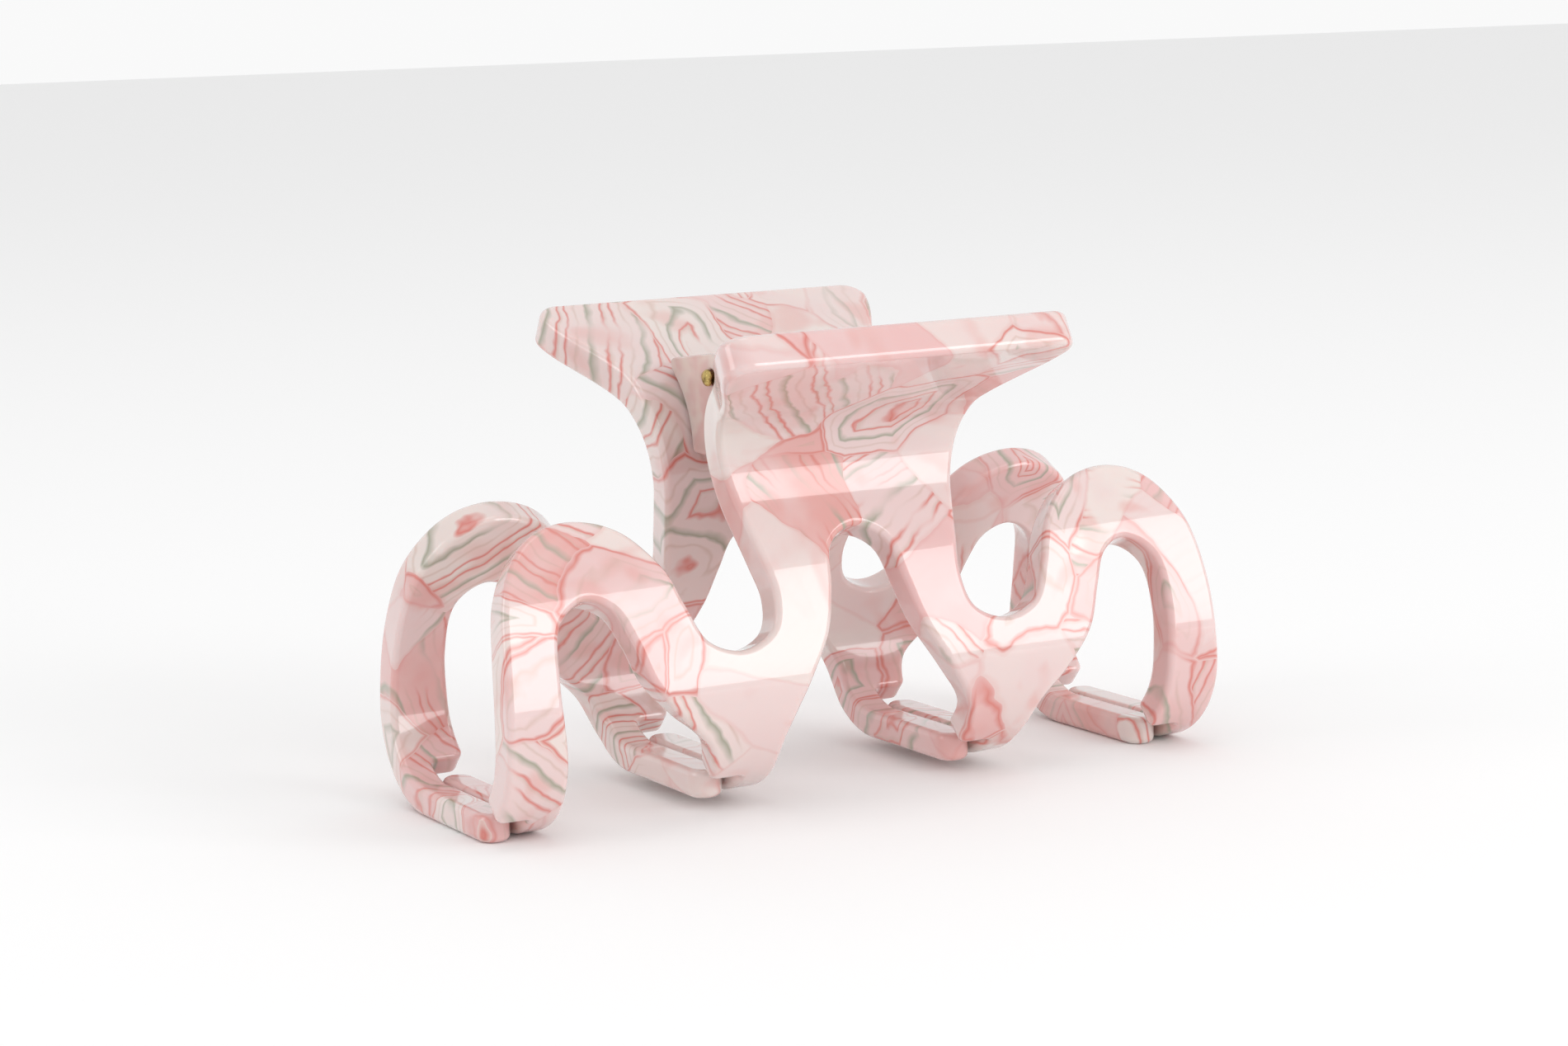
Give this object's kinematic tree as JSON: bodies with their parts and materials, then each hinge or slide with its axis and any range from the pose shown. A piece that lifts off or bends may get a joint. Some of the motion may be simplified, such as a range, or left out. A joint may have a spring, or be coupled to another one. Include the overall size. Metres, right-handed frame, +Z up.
{
  "type": "claw clip",
  "caption": "Sprung hair claw: two bent sheet jaws with thumb tabs and interlocking curled fingers on a pin hinge.",
  "frame": {"origin": "bottom centre of the bounding box, on the plane that the curled fingers rest on", "axes": "+X along the clip's length and its hinge axis, -Y towards the front jaw, +Z up through the thumb tabs"},
  "size_m": [0.0848, 0.047, 0.0498],
  "materials": {
    "jaw_acetate": "polished marbled cellulose acetate, pale pink, milky white and coral with fine wavy lines",
    "ear_acetate": "translucent pale pink acetate",
    "pin_brass": "slightly tarnished brass, peened ends",
    "spring_steel": "bright spring wire"
  },
  "bodies": {
    "rear": {"rear_jaw": "jaw_acetate", "rear_ear_outer": "ear_acetate", "rear_ear_inner": "ear_acetate", "hinge_pin": "pin_brass", "torsion_spring": "spring_steel"},
    "front": {"front_jaw": "jaw_acetate", "front_ear_outer": "ear_acetate", "front_ear_inner": "ear_acetate"}
  },
  "joints": [
    {"name": "jaw_hinge", "type": "hinge", "parent": "rear", "child": "front", "pos_m": [0, 0, 0.0431], "axis": [-1, 0, 0], "range_deg": [0, 75], "stiffness_Nm_per_rad": 0.1, "springref_deg": -57.3, "deforming": ["torsion_spring"]}
  ]
}
